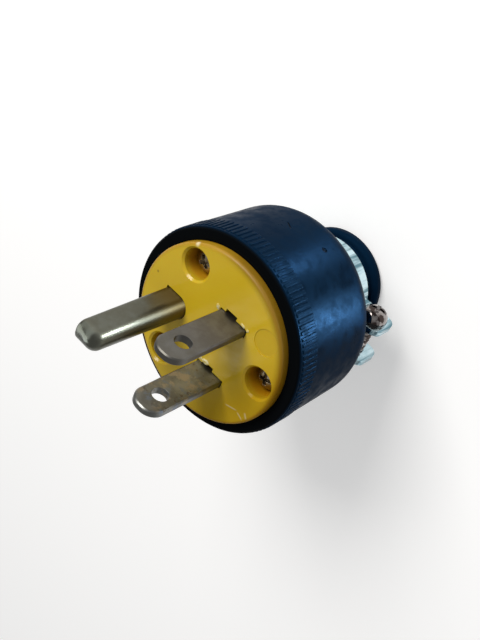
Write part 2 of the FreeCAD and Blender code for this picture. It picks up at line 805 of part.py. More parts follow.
os.makedirs("parts", exist_ok=True)
for subpart in subparts:
    subpart.Shape.exportStep(f"parts/{subpart.Label}.step")
    print(f"{subpart.Label}: {len(subpart.Shape.Solids)} solids, {subpart.Shape.Volume:.1f} mm3")
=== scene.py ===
# %% [markdown]
# # A rewirable plug with two blades and a ground pin
# This lesson dresses a finished set of solid parts: a black vinyl body, a yellow face, three metal
# prongs and a strap clamp for the cord. The solids come in at their real size and stay where they
# are. The lesson gives each of them a finish and models the small pieces that need finer shapes.

# %% Load the parts
import math

import bmesh
import bpy
from mathutils import Matrix, Vector


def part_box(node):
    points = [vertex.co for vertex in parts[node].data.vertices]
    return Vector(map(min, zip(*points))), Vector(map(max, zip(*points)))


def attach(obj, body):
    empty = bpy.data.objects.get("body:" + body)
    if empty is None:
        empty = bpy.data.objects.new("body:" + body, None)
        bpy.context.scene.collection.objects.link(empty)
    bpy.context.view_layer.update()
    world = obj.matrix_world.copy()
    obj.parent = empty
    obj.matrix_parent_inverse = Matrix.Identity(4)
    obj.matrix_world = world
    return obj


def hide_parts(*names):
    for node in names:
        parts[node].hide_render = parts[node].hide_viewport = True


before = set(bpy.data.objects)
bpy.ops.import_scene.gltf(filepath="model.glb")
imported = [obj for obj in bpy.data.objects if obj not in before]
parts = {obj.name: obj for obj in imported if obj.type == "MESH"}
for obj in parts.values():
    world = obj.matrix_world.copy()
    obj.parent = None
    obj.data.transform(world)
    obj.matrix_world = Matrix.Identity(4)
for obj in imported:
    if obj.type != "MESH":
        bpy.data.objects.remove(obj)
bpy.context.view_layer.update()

MM = 0.001
print("parts:", ", ".join(sorted(parts)))

# %% [markdown]
# ## Camera
# A camera can be placed by hand until the outlines agree, or worked out from known sizes. Here the
# prongs have standard sizes, so the viewpoint and the focal length follow from where they appear in
# a picture of 480 by 640 pixels. The camera is rolled, because the plug stands on its rear end
# while the picture shows its prongs pointing to the lower left.

# %% Camera
IMAGE_HEIGHT_PX = 640
FOCAL_LENGTH_PX = 918.7
SENSOR_HEIGHT = 36.0
NEAREST_SEEN = 5 * MM
camera_place = Vector((102.65, -61.68, 151.47)) * MM
camera_target = Vector((4.03, -2.32, 36.35)) * MM
image_up = Vector((0.7176, 0.6343, -0.2877))


def facing(place, target, upward):
    """The place and turn of something at place that looks at target along its own -Z."""
    back = (place - target).normalized()
    right = upward.cross(back).normalized()
    turn = Matrix((right, back.cross(right), back)).transposed()
    return Matrix.Translation(place) @ turn.to_4x4()


camera_data = bpy.data.cameras.new("view_camera")
camera_data.sensor_fit = "VERTICAL"
camera_data.sensor_height = SENSOR_HEIGHT
camera_data.lens = FOCAL_LENGTH_PX / IMAGE_HEIGHT_PX * SENSOR_HEIGHT
camera_data.clip_start = NEAREST_SEEN
camera = bpy.data.objects.new("view_camera", camera_data)
camera.matrix_world = facing(camera_place, camera_target, image_up)
bpy.context.scene.collection.objects.link(camera)
bpy.context.scene.camera = camera
bpy.context.scene.view_settings.view_transform = "Standard"
print(f"camera: {camera_data.lens:.1f} mm lens, {(camera_place - camera_target).length / MM:.0f} mm away")

# %% [markdown]
# ## Nodes in a few words
# A finish is a small graph of nodes. Building it in the editor is quick to try, while code can be
# read, repeated and corrected. These helpers keep that code short. Every pattern reads Object
# coordinates, which are metres in the part's own frame, so a pattern has a real scale and stays put
# when the view changes.

# %% Node helpers


def connect(tree, socket, value):
    """Give an input either another node's output or a fixed value."""
    if isinstance(value, bpy.types.NodeSocket):
        tree.links.new(value, socket)
    else:
        socket.default_value = value


def new_finish(name):
    """A material with its tree, its shader and the point that its patterns read."""
    material = bpy.data.materials.new(name)
    material.use_nodes = True
    tree = material.node_tree
    shader = tree.nodes["Principled BSDF"]
    point = tree.nodes.new("ShaderNodeTexCoord").outputs["Object"]
    return material, tree, shader, point


def calc(tree, operation, first, second=0.0):
    """One step of arithmetic on one or two values."""
    made = tree.nodes.new("ShaderNodeMath")
    made.operation = operation
    connect(tree, made.inputs[0], first)
    connect(tree, made.inputs[1], second)
    return made.outputs[0]


def noise(tree, point, size, detail=3.0, coarse=0.5):
    """Soft spots of about this size in metres, as a value round 0.5."""
    made = tree.nodes.new("ShaderNodeTexNoise")
    connect(tree, made.inputs["Vector"], point)
    made.inputs["Scale"].default_value = 1.0 / size
    made.inputs["Detail"].default_value = detail
    made.inputs["Roughness"].default_value = coarse
    return made.outputs[0]


def fade(tree, value, start, stop, first=0.0, last=1.0):
    """A smooth step from first to last while value goes from start to stop."""
    made = tree.nodes.new("ShaderNodeMapRange")
    made.interpolation_type = "SMOOTHSTEP"
    for socket, number in zip(made.inputs, (value, start, stop, first, last)):
        connect(tree, socket, number)
    return made.outputs[0]


# The Mix node has a set of sockets for each kind of value. These are the ones for colours.
COLOUR_INPUTS = (6, 7)
COLOUR_OUTPUT = 2


def blend_colour(tree, share, first, second):
    """The first colour where share is 0 and the second where it is 1."""
    made = tree.nodes.new("ShaderNodeMix")
    made.data_type = "RGBA"
    connect(tree, made.inputs[0], share)
    for number, colour in zip(COLOUR_INPUTS, (first, second)):
        fixed = not isinstance(colour, bpy.types.NodeSocket)
        connect(tree, made.inputs[number], (*colour, 1.0) if fixed else colour)
    return made.outputs[COLOUR_OUTPUT]


def stain(tree, colour, mask, share, stain_colour):
    """Lay a thin coat of another colour where the mask is 1."""
    return blend_colour(tree, calc(tree, "MULTIPLY", mask, share), colour, stain_colour)


# %% [markdown]
# A mask says where a stain or a mark lies. It starts from a distance: from the plug's axis, from a
# place or from the middle line of a scratch. A fade then turns the distance into a value from 0 to 1.

# %% Mask helpers
# shares of a streak's length and width that have its full strength
STREAK_CORE_LENGTH = 0.4
STREAK_CORE_WIDTH = 0.3


def moved(tree, point, centre=(0, 0, 0), turn=(0, 0, 0), stretch=(1, 1, 1)):
    """The same point seen from a frame that is moved, turned or stretched."""
    made = tree.nodes.new("ShaderNodeMapping")
    made.vector_type = "TEXTURE"
    connect(tree, made.inputs["Vector"], point)
    made.inputs["Location"].default_value = [c * MM for c in centre]
    made.inputs["Rotation"].default_value = [math.radians(angle) for angle in turn]
    made.inputs["Scale"].default_value = stretch
    return made.outputs[0]


def axes(tree, point):
    """The three coordinates of a point."""
    made = tree.nodes.new("ShaderNodeSeparateXYZ")
    connect(tree, made.inputs[0], point)
    return made.outputs[0], made.outputs[1], made.outputs[2]


def radius(tree, point):
    """Distance from the plug's own axis."""
    x, y, _ = axes(tree, point)
    squared = calc(tree, "ADD", calc(tree, "MULTIPLY", x, x), calc(tree, "MULTIPLY", y, y))
    return calc(tree, "SQRT", squared)


def distance_to(tree, point, place):
    """Distance in metres from a place that is given in millimetres."""
    made = tree.nodes.new("ShaderNodeVectorMath")
    made.operation = "DISTANCE"
    connect(tree, made.inputs[0], point)
    made.inputs[1].default_value = [c * MM for c in place]
    return made.outputs["Value"]


def streak(tree, point, centre, turn, half_length, half_width):
    """1 inside a thin mark that lies along its own X axis, fading out at its ends and sides."""
    x, y, _ = axes(tree, moved(tree, point, centre, turn))
    along = fade(tree, calc(tree, "ABSOLUTE", x), half_length * MM, half_length * STREAK_CORE_LENGTH * MM)
    across = fade(tree, calc(tree, "ABSOLUTE", y), half_width * MM, half_width * STREAK_CORE_WIDTH * MM)
    return calc(tree, "MULTIPLY", along, across)


# %% [markdown]
# Light shows a shape through its normals. A bevel node bends them over an edge, and a bump node tilts
# them along a height, so soft edges and grain need no extra faces.

# %% Normals and dressing


def soft_edges(tree, size, samples=6):
    """A normal that bends over an edge as if it had a round of this radius in metres."""
    made = tree.nodes.new("ShaderNodeBevel")
    made.samples = samples
    made.inputs["Radius"].default_value = size
    return made.outputs[0]


def bump(tree, height, depth, strength=1.0, under=None):
    """A normal from a height between 0 and 1 that stands for this depth in metres."""
    made = tree.nodes.new("ShaderNodeBump")
    made.inputs["Strength"].default_value = strength
    made.inputs["Distance"].default_value = depth
    connect(tree, made.inputs["Height"], height)
    if under is not None:
        connect(tree, made.inputs["Normal"], under)
    return made.outputs[0]


def wear(node, material):
    """Give a solid its finish."""
    for slot in parts[node].material_slots:
        slot.material = material
    print(f"{node}: {material.name}, {len(material.node_tree.nodes)} nodes")


# %% [markdown]
# ## Floor and light
# A product picture on white can be cut out, or shot on a floor as bright as its surroundings. The
# second way keeps the soft shadow under the plug. The floor and the sky are brighter for the camera
# than for the light that falls on the plug, so the picture is white and the plug isn't washed out.

# %% Floor
FLOOR_RADIUS = 3.0
FLOOR_SIDES = 96
FLOOR_DROP = 0.05 * MM
FLOOR_WHITE = 0.82
FLOOR_GLOW = 0.34
FAR_GLOW = 0.6
FAR_FROM, FAR_TO = 0.22, 0.7


def seen_directly(tree):
    """1 for what the camera sees, also in a mirror or through glass, and 0 for light on its way."""
    path = tree.nodes.new("ShaderNodeLightPath")
    mirrored = calc(tree, "MAXIMUM", path.outputs["Is Glossy Ray"], path.outputs["Is Transmission Ray"])
    return calc(tree, "MAXIMUM", path.outputs["Is Camera Ray"], mirrored)


def floor_paint():
    """Matt white that glows a little, and far away glows into the white of the sky."""
    material, tree, shader, point = new_finish("white_floor")
    shader.inputs["Base Color"].default_value = (FLOOR_WHITE, FLOOR_WHITE, FLOOR_WHITE, 1.0)
    shader.inputs["Roughness"].default_value = 0.9
    shader.inputs["Specular IOR Level"].default_value = 0.0
    shader.inputs["Emission Color"].default_value = (1.0, 1.0, 1.0, 1.0)
    near = calc(tree, "MULTIPLY", seen_directly(tree), FLOOR_GLOW)
    in_view = tree.nodes.new("ShaderNodeLightPath").outputs["Is Camera Ray"]
    far = fade(tree, radius(tree, point), FAR_FROM, FAR_TO, 0.0, FAR_GLOW)
    glow = calc(tree, "ADD", near, calc(tree, "MULTIPLY", in_view, far))
    connect(tree, shader.inputs["Emission Strength"], glow)
    return material


shape = bmesh.new()
bmesh.ops.create_circle(shape, cap_ends=True, segments=FLOOR_SIDES, radius=FLOOR_RADIUS,
                        matrix=Matrix.Translation((0, 0, -FLOOR_DROP)))
floor_mesh = bpy.data.meshes.new("floor")
shape.to_mesh(floor_mesh)
shape.free()
floor = bpy.data.objects.new("floor", floor_mesh)
floor.data.materials.append(floor_paint())
bpy.context.scene.collection.objects.link(floor)
print(f"floor: a disc of {FLOOR_RADIUS:.0f} m radius")

# %% [markdown]
# One square lamp stands where the light on the yellow face comes from, and a pale sky fills the
# shadows. The other lamps are panels that show only in the gloss of one part each, which light linking
# makes possible. Two small cool ones, low beside the plug, give the black body the soft highlights that
# tell how round it is. Three white ones draw the bright line along the ground pin and the pale patches
# on its nose and its upper side, and the square lamp is kept off that pin.

# %% Light
SKY_FILL = 0.36
sky = bpy.data.worlds.new("pale_sky")
sky.use_nodes = True
background = sky.node_tree.nodes["Background"]
background.inputs["Color"].default_value = (1.0, 1.0, 1.0, 1.0)
seen = sky.node_tree.nodes.new("ShaderNodeLightPath").outputs["Is Camera Ray"]
connect(sky.node_tree, background.inputs["Strength"], calc(sky.node_tree, "MAXIMUM", seen, SKY_FILL))
bpy.context.scene.world = sky


def lamp(name, place, target, width, height, watts, colour, spread):
    """A flat lamp, with its lengths in millimetres and the spread of its beam in degrees."""
    data = bpy.data.lights.new(name, "AREA")
    data.shape = "RECTANGLE"
    data.size = width * MM
    data.size_y = height * MM
    data.spread = math.radians(spread)
    data.energy = watts
    data.color = colour
    made = bpy.data.objects.new(name, data)
    made.matrix_world = facing(Vector(place) * MM, Vector(target) * MM, Vector((0, 0, 1)))
    made.visible_camera = False
    bpy.context.scene.collection.objects.link(made)
    print(f"{name}: {watts} W")
    return made


def light_group(made, node, state):
    """A group for light linking: INCLUDE lights only this part, EXCLUDE everything but this part."""
    group = bpy.data.collections.new(f"{made.name}_group")
    group.objects.link(parts[node])
    group.collection_objects[0].light_linking.link_state = state
    return group


def gloss_only(panel, node):
    """Let a lamp show in the gloss of one part and nowhere else, with nothing in its way."""
    group = light_group(panel, node, "INCLUDE")
    panel.light_linking.receiver_collection = group
    panel.light_linking.blocker_collection = group
    panel.visible_diffuse = False


WARM_WHITE = (1.0, 0.98, 0.95)
WINDOW_WHITE = (0.86, 0.94, 1.0)
COOL = (0.18, 0.51, 1.0)
WIDE, NARROW = 180, 70
KEY_LAMP = ("key_lamp", (352, 177, 349), (0, 0, 40), 260, 260, 2.3, WARM_WHITE, WIDE)
PANELS = (
    # name, place, target, width, height, watts, colour and spread, then the part that it shows in
    ("low_panel_side", (21, -37, 2), (13, -14, 29), 14, 22, 0.025, COOL, NARROW, "body_shell"),
    ("low_panel_top", (42, -7, 2), (18, -5, 28), 12, 20, 0.008, COOL, NARROW, "body_shell"),
    ("pin_panel", (33, -28, 23), (2, 7, 58), 20, 18, 0.045, WINDOW_WHITE, WIDE, "ground_pin"),
    ("nose_panel", (-45, 95, 170), (0, 8, 61), 220, 200, 0.42, WINDOW_WHITE, WIDE, "ground_pin"),
    ("top_panel", (110, 70, 150), (0, 8, 61), 140, 280, 0.15, WINDOW_WHITE, WIDE, "ground_pin"),
)
key = lamp(*KEY_LAMP)
key.light_linking.receiver_collection = light_group(key, "ground_pin", "EXCLUDE")
for *settings, node in PANELS:
    gloss_only(lamp(*settings), node)

# %% [markdown]
# ## Black vinyl
# The body is one soft moulding. Up close it has a fine moulded grain, slow waves left by the mould and
# a satin sheen that varies with handling. A plain dark colour would look like a hole in the picture,
# so the colour wanders between two blue-blacks, whose blue is partly painted light from a bluish window,
# and a painted highlight makes the rib crests a little paler. The ring round the face is matt. A nick
# and a scratch are left from use.

# %% Black vinyl
RIB_ROOT_RADIUS = 19.42 * MM
RIB_CREST_RADIUS = 19.54 * MM
RING_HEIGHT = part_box("body_shell")[1].z
NICK = (18.6, -5.0, 23.8)
# middle, turn, half length, half width
SCRATCH = ((19.1, 2.4, 25.9), (90, 35, 90), 1.3, 0.16)


def black_vinyl():
    material, tree, shader, point = new_finish("black_vinyl")
    _, _, height = axes(tree, point)
    slow = noise(tree, point, 9 * MM)
    handled = noise(tree, point, 2.4 * MM, 5.0, 0.6)
    grain = noise(tree, point, 0.28 * MM, 2.0)
    painted_crest_highlight = fade(tree, radius(tree, point), RIB_ROOT_RADIUS, RIB_CREST_RADIUS)
    ring = fade(tree, height, RING_HEIGHT - 0.5 * MM, RING_HEIGHT - 0.1 * MM)

    # The blue in these two blacks is partly the vinyl's own colour and partly painted light from a bluish
    # window.
    colour = blend_colour(tree, slow, (0.0010, 0.0075, 0.021), (0.0030, 0.0170, 0.042))
    # Painted highlight: the rib crests are painted paler, as if light caught each rib.
    colour = stain(tree, colour, painted_crest_highlight, 0.3, (0.006, 0.022, 0.048))
    colour = blend_colour(tree, ring, colour, (0.0025, 0.003, 0.0035))
    nick = fade(tree, distance_to(tree, point, NICK), 0.6 * MM, 0.2 * MM)
    damage = calc(tree, "MAXIMUM", nick, streak(tree, point, *SCRATCH))
    colour = blend_colour(tree, damage, colour, (0.0015, 0.002, 0.003))
    connect(tree, shader.inputs["Base Color"], colour)

    satin = fade(tree, handled, 0.32, 0.68, 0.27, 0.52)
    connect(tree, shader.inputs["Roughness"], calc(tree, "ADD", satin, calc(tree, "MULTIPLY", ring, 0.2)))
    shader.inputs["Specular IOR Level"].default_value = 0.012
    # Painted light: the blue specular tint colours the body's reflections like a bluish window light.
    shader.inputs["Specular Tint"].default_value = (0.25, 0.60, 1.0, 1.0)
    waves = bump(tree, slow, 0.16 * MM, 0.6, soft_edges(tree, 0.22 * MM))
    skin = bump(tree, grain, 0.012 * MM, 0.5, waves)
    connect(tree, shader.inputs["Normal"], bump(tree, damage, -0.25 * MM, 1.0, skin))
    return material


wear("body_shell", black_vinyl())

# %% [markdown]
# ## Yellow face
# The face is a thick glossy moulding in golden yellow. Such plastic lets a little light into itself,
# which softens its edges and warms its hollows, so some subsurface scattering is added. Painted shade
# makes the rim and the screw recesses browner, one side of the rim darker still, and the face darker
# towards another side, which also has less shine. A few hairline cracks have turned pale.

# %% Yellow plastic
FACE_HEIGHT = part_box("face_plate")[1].z
FACE_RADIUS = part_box("face_plate")[1].x
SHADED_DULL_SIDE = (-0.51, -0.86)
SHADED_RIM_SIDE = (0.66, -0.75)
MOULD_MARK = (8.15, -11.0, 41)
MOULD_MARK_RADIUS = 2.5 * MM
CHIP = (14.0, 9.0, 40.7)
PIT = (3.3, 14.6, 41)
CRACKS = (
    # middle, turn, half length, half width
    ((-8.5, -10.6, 41), (0, 0, 108), 1.6, 0.22),
    ((-8.6, -12.9, 41), (0, 0, 66), 1.0, 0.24),
    ((-7.6, -13.9, 41), (0, 0, 38), 0.8, 0.30),
)


def towards(tree, x, y, direction):
    """How far a point lies in one direction across the face."""
    along_x = calc(tree, "MULTIPLY", x, direction[0])
    along_y = calc(tree, "MULTIPLY", y, direction[1])
    return calc(tree, "ADD", along_x, along_y)


def yellow_plastic():
    material, tree, shader, point = new_finish("yellow_plastic")
    flow = noise(tree, moved(tree, point, turn=(0, 0, 25), stretch=(1, 2.5, 1)), 5 * MM)
    speck = noise(tree, point, 0.5 * MM, 4.0, 0.7)
    from_axis = radius(tree, point)
    x, y, height = axes(tree, point)
    shaded_matt_rim = fade(tree, from_axis, FACE_RADIUS - 0.9 * MM, FACE_RADIUS - 0.1 * MM)
    towards_edge = fade(tree, from_axis, FACE_RADIUS - 1.9 * MM, FACE_RADIUS - 0.3 * MM)
    shaded_dull_side = fade(tree, towards(tree, x, y, SHADED_DULL_SIDE), 5.5 * MM, 14 * MM)
    shaded_rim_side = fade(tree, towards(tree, x, y, SHADED_RIM_SIDE), 6 * MM, 13 * MM)
    sunk = fade(tree, height, FACE_HEIGHT - 0.4 * MM, FACE_HEIGHT - 2.6 * MM)
    inward = fade(tree, from_axis, FACE_RADIUS - 0.6 * MM, FACE_RADIUS - 1 * MM)
    shaded_matt_hollow = calc(tree, "MULTIPLY", sunk, inward)

    colour = blend_colour(tree, flow, (0.54, 0.365, 0.012), (0.62, 0.43, 0.020))
    # Painted shade: the face is painted darker and browner towards one side, where less light falls.
    colour = stain(tree, colour, shaded_dull_side, 0.45, (0.38, 0.20, 0.003))
    # Painted shade: the rounded rim is painted browner, as its edge sits in shade.
    colour = stain(tree, colour, shaded_matt_rim, 0.65, (0.30, 0.13, 0.004))
    # Painted shade: one side of the rim is painted darker still, as it lies away from the light.
    rim_side_shade = calc(tree, "MULTIPLY", calc(tree, "MULTIPLY", towards_edge, shaded_rim_side), 0.42)
    colour = blend_colour(tree, rim_side_shade, colour, (0.10, 0.045, 0.002))
    # Painted shade: the screw recesses are painted a warmer, browner orange, as the shade inside them.
    colour = stain(tree, colour, shaded_matt_hollow, 0.8, (0.40, 0.17, 0.003))
    colour = stain(tree, colour, fade(tree, speck, 0.66, 0.78), 0.25, (0.20, 0.12, 0.02))
    cracks = 0.0
    for crack in CRACKS:
        cracks = calc(tree, "MAXIMUM", streak(tree, point, *crack), cracks)
    chip = fade(tree, distance_to(tree, point, CHIP), 0.7 * MM, 0.2 * MM)
    pale = calc(tree, "MAXIMUM", calc(tree, "MULTIPLY", cracks, 0.32), calc(tree, "MULTIPLY", chip, 0.6))
    colour = blend_colour(tree, pale, colour, (0.85, 0.78, 0.55))
    pit = fade(tree, distance_to(tree, point, PIT), 0.35 * MM, 0.15 * MM)
    colour = stain(tree, colour, pit, 0.6, (0.16, 0.09, 0.01))
    mark = fade(tree, distance_to(tree, point, MOULD_MARK), MOULD_MARK_RADIUS, MOULD_MARK_RADIUS * 0.86)
    colour = stain(tree, colour, mark, 0.5, (0.50, 0.33, 0.012))
    connect(tree, shader.inputs["Base Color"], colour)

    gloss = fade(tree, noise(tree, point, 3 * MM), 0.3, 0.7, 0.15, 0.24)
    matt = calc(tree, "MULTIPLY", calc(tree, "MAXIMUM", mark, calc(tree, "MAXIMUM", shaded_matt_rim, shaded_matt_hollow)), 0.25)
    connect(tree, shader.inputs["Roughness"], calc(tree, "ADD", gloss, matt))
    lost_shine = calc(tree, "ADD", calc(tree, "MULTIPLY", shaded_dull_side, 0.33),
                      calc(tree, "MULTIPLY", rim_side_shade, 0.08))
    connect(tree, shader.inputs["Specular IOR Level"], calc(tree, "SUBTRACT", 0.38, lost_shine))
    shader.inputs["Subsurface Weight"].default_value = 0.12
    shader.inputs["Subsurface Radius"].default_value = (1.0, 0.45, 0.1)
    shader.inputs["Subsurface Scale"].default_value = 0.8 * MM
    sink = bump(tree, noise(tree, point, 7 * MM), 0.08 * MM, 0.4)
    connect(tree, shader.inputs["Normal"], bump(tree, cracks, 0.05 * MM, 0.8, sink))
    return material


wear("face_plate", yellow_plastic())

# %% [markdown]
# ## Insulating base
# Behind the face sits a matt block that keeps the wires apart. It is seen only through the cord hole,
# so a plain mottled finish of pressed resin is enough.

# %% Pressed resin


def pressed_resin():
    material, tree, shader, point = new_finish("pressed_resin")
    mottle = noise(tree, point, 1.1 * MM, 5.0, 0.6)
    connect(tree, shader.inputs["Base Color"],
            blend_colour(tree, mottle, (0.030, 0.024, 0.020), (0.075, 0.062, 0.052)))
    connect(tree, shader.inputs["Roughness"], fade(tree, mottle, 0.3, 0.7, 0.5, 0.68))
    connect(tree, shader.inputs["Normal"], bump(tree, mottle, 0.05 * MM, 0.4))
    return material


wear("terminal_base", pressed_resin())

# %% [markdown]
# ## Worn metal
# All the metal pieces are made of sheet or wire that was rolled or drawn, so their surfaces carry fine
# lines along one direction, and each has its own colour and tarnish. One function makes that metal,
# and each piece then chooses its colours, its gloss, the direction of its lines and its stains. Lines
# that are bumped and also change the gloss catch the light as real ones do.

# %% Metal helper
ALL_WAYS = (1, 1, 1)
ALONG_Y = (1, 14, 1)
ALONG_Z = (1, 1, 14)
TARNISH_MATT = 0.10
LINES_MATT = 0.12


def drawn_metal(name, bright, dull, gloss, stretch,
                line_depth=0.006, unevenness=1.0, edge=0.12, samples=6):
    """A metal with lines along the stretched axis. Its colour and gloss wander between two states."""
    material, tree, shader, point = new_finish(name)
    shader.inputs["Metallic"].default_value = 1.0
    tarnish = fade(tree, noise(tree, point, 3.2 * MM, 5.0, 0.62), 0.35, 0.65)
    lines = noise(tree, moved(tree, point, stretch=stretch), 0.22 * MM, 3.0, 0.6)
    colour = blend_colour(tree, tarnish, bright, dull)
    connect(tree, shader.inputs["Base Color"], colour)
    wander = calc(tree, "ADD", calc(tree, "MULTIPLY", tarnish, TARNISH_MATT * unevenness),
                  calc(tree, "MULTIPLY", lines, LINES_MATT * unevenness))
    connect(tree, shader.inputs["Roughness"], calc(tree, "ADD", wander, gloss))
    normal = bump(tree, lines, line_depth * MM, 0.5, soft_edges(tree, edge * MM, samples))
    connect(tree, shader.inputs["Normal"], normal)
    return material, tree, shader, point, colour


# %% [markdown]
# ## Blades and ground pin
# The line blade is dull and greyish. The neutral blade is the more tarnished one: its stains are spots
# of noise, brown all over, tan and bluish only between its root and its tip. The ground pin is a
# polished olive brass, with a golden brown near its root that is a painted reflection of the yellow face.

# %% Line blade


def line_blade_metal():
    material, tree, shader, point, colour = drawn_metal(
        "grey_blade_metal", (0.165, 0.165, 0.172), (0.125, 0.122, 0.120), 0.30, ALONG_Z)
    _, _, height = axes(tree, point)
    tip = fade(tree, height, FACE_HEIGHT + 6 * MM, FACE_HEIGHT + 15 * MM)
    connect(tree, shader.inputs["Base Color"], stain(tree, colour, tip, 0.6, (0.120, 0.112, 0.088)))
    return material


wear("line_blade", line_blade_metal())

# %% Neutral blade


def neutral_blade_metal():
    material, tree, shader, point, colour = drawn_metal(
        "stained_blade_metal", (0.215, 0.218, 0.205), (0.148, 0.150, 0.140), 0.26, ALONG_Z)
    _, _, height = axes(tree, point)
    stained = fade(tree, height, FACE_HEIGHT + 1 * MM, FACE_HEIGHT + 5 * MM)
    clear_tip = fade(tree, height, FACE_HEIGHT + 16.5 * MM, FACE_HEIGHT + 15 * MM)
    allowed = calc(tree, "MULTIPLY", stained, clear_tip)
    tan = fade(tree, noise(tree, point, 2.0 * MM, 5.0, 0.6), 0.50, 0.60)
    bluish = fade(tree, noise(tree, moved(tree, point, (3, 5, 7)), 1.6 * MM, 5.0, 0.6), 0.52, 0.62)
    brown = fade(tree, noise(tree, moved(tree, point, (9, 2, 4)), 0.9 * MM, 4.0, 0.6), 0.58, 0.68)
    colour = stain(tree, colour, bluish, allowed, (0.165, 0.190, 0.230))
    colour = stain(tree, colour, tan, allowed, (0.280, 0.250, 0.200))
    colour = stain(tree, colour, brown, 0.6, (0.090, 0.068, 0.046))
    connect(tree, shader.inputs["Base Color"], colour)
    return material


wear("neutral_blade", neutral_blade_metal())

# %% Ground pin
PIN_TIP = (0.0, 8.6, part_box("ground_pin")[1].z / MM)
DOME_RADIUS = 2.6 * MM
DOME_HEIGHT = 0.75 * MM


def ground_pin_metal():
    """Polished metal with a painted reflection of the face at its root and a flat end bumped into a low
    dome.
    """
    material, tree, shader, point, colour = drawn_metal(
        "olive_pin_metal", (0.118, 0.121, 0.099), (0.100, 0.098, 0.075), 0.27, ALONG_Z,
        line_depth=0.0008, unevenness=0.15, edge=1.0, samples=16)
    _, _, height = axes(tree, point)
    # Painted reflection: the pin is painted golden brown near its root, where the yellow face shows in
    # it.
    root = fade(tree, height, FACE_HEIGHT + 9 * MM, FACE_HEIGHT)
    connect(tree, shader.inputs["Base Color"], stain(tree, colour, root, 0.7, (0.120, 0.085, 0.026)))
    near_tip = fade(tree, distance_to(tree, point, PIN_TIP), DOME_RADIUS, 0.0)
    plain = shader.inputs["Normal"].links[0].from_socket
    connect(tree, shader.inputs["Normal"], bump(tree, near_tip, DOME_HEIGHT, 1.0, plain))
    return material


wear("ground_pin", ground_pin_metal())

# %% [markdown]
# ## Strap clamp
# The two straps are bent from bright zinc plated strip. The plating has a cool tint and fine rolling
# lines round the neck. Darker bands across the strip are painted reflections, and their pattern is
# stretched along the neck's own axis.

# %% Zinc plated straps


def zinc_plated_strip():
    material, tree, shader, point, colour = drawn_metal(
        "zinc_plated_strip", (0.70, 0.88, 0.94), (0.52, 0.72, 0.79), 0.08, ALONG_Y,
        line_depth=0.004, unevenness=0.6)
    # Painted reflection: darker bands across the strip stand for reflections in the shiny plating.
    painted_reflection_bands = fade(tree, noise(tree, moved(tree, point, stretch=ALONG_Z), 1.7 * MM, 3.0, 0.6), 0.42, 0.62)
    connect(tree, shader.inputs["Base Color"], blend_colour(tree, painted_reflection_bands, colour, (0.12, 0.24, 0.29)))
    return material


strap_metal = zinc_plated_strip()
wear("clamp_upper_strap", strap_metal)
wear("clamp_lower_strap", strap_metal)

# %% [markdown]
# ## Screws
# The solids show each screw as a plain head and shank. A real one has a domed head, a driver recess
# and a thread, and the clamp's screws show all three. The head and shank are turned by spinning half
# an outline, and the thread is a small triangle spun with a lift at each step.

# %% Turned shapes and threads
SPIN_STEPS = 48
MERGE_DISTANCE = 0.002 * MM
THREAD_STEPS = 20
THREAD_PITCH = 0.8
THREAD_DEPTH = 0.24
THREAD_FOOT = THREAD_PITCH * 0.42


def turn_outline(shape, outline):
    """Spin a half outline of (radius, height) points round Z."""
    corners = [shape.verts.new((r * MM, 0, z * MM)) for r, z in outline]
    edges = [shape.edges.new(pair) for pair in zip(corners, corners[1:])]
    bmesh.ops.spin(shape, geom=corners + edges, cent=(0, 0, 0), axis=(0, 0, 1), dvec=(0, 0, 0),
                   angle=2 * math.pi, steps=SPIN_STEPS, use_merge=True, use_normal_flip=False,
                   use_duplicate=False)
    bmesh.ops.remove_doubles(shape, verts=shape.verts, dist=MERGE_DISTANCE)
    bmesh.ops.recalc_face_normals(shape, faces=shape.faces)


def wind_thread(shape, shank_radius, low, high):
    """A closed ridge of triangular section that climbs round the shank."""
    corners = [shape.verts.new((r * MM, 0, z * MM)) for r, z in (
        (shank_radius - THREAD_DEPTH, low - THREAD_FOOT),
        (shank_radius, low),
        (shank_radius - THREAD_DEPTH, low + THREAD_FOOT),
    )]
    edges = [shape.edges.new((corners[i], corners[(i + 1) % 3])) for i in range(3)]
    first_cap = shape.faces.new(corners)
    turns = (high - low) / THREAD_PITCH
    steps = round(turns * THREAD_STEPS)
    lift = (high - low) / steps * MM
    made = bmesh.ops.spin(shape, geom=corners + edges, cent=(0, 0, 0), axis=(0, 0, 1),
                          dvec=(0, 0, lift), angle=2 * math.pi * turns, steps=steps,
                          use_merge=False, use_normal_flip=False, use_duplicate=False)
    last_edges = [item for item in made["geom_last"] if isinstance(item, bmesh.types.BMEdge)]
    last_cap = bmesh.ops.contextual_create(shape, geom=last_edges)["faces"]
    ridge = {first_cap, *last_cap}
    reached = {first_cap}
    while reached:
        face = reached.pop()
        ridge.add(face)
        for edge in face.edges:
            reached.update(other for other in edge.link_faces if other not in ridge)
    bmesh.ops.recalc_face_normals(shape, faces=list(ridge))


# %% [markdown]
# The recess is what a driver's tip would leave: one tapered bar for a slot, two for a cross. A boolean
# modifier takes the bars away from the head. Its exact solver is slower and copes with faces that touch.

# %% Driver recess
BAR_HALF_WIDTH = 0.40
BAR_LENGTH_TAPER = 0.55
BAR_WIDTH_TAPER = 0.8
BAR_OVERRUN = 0.5


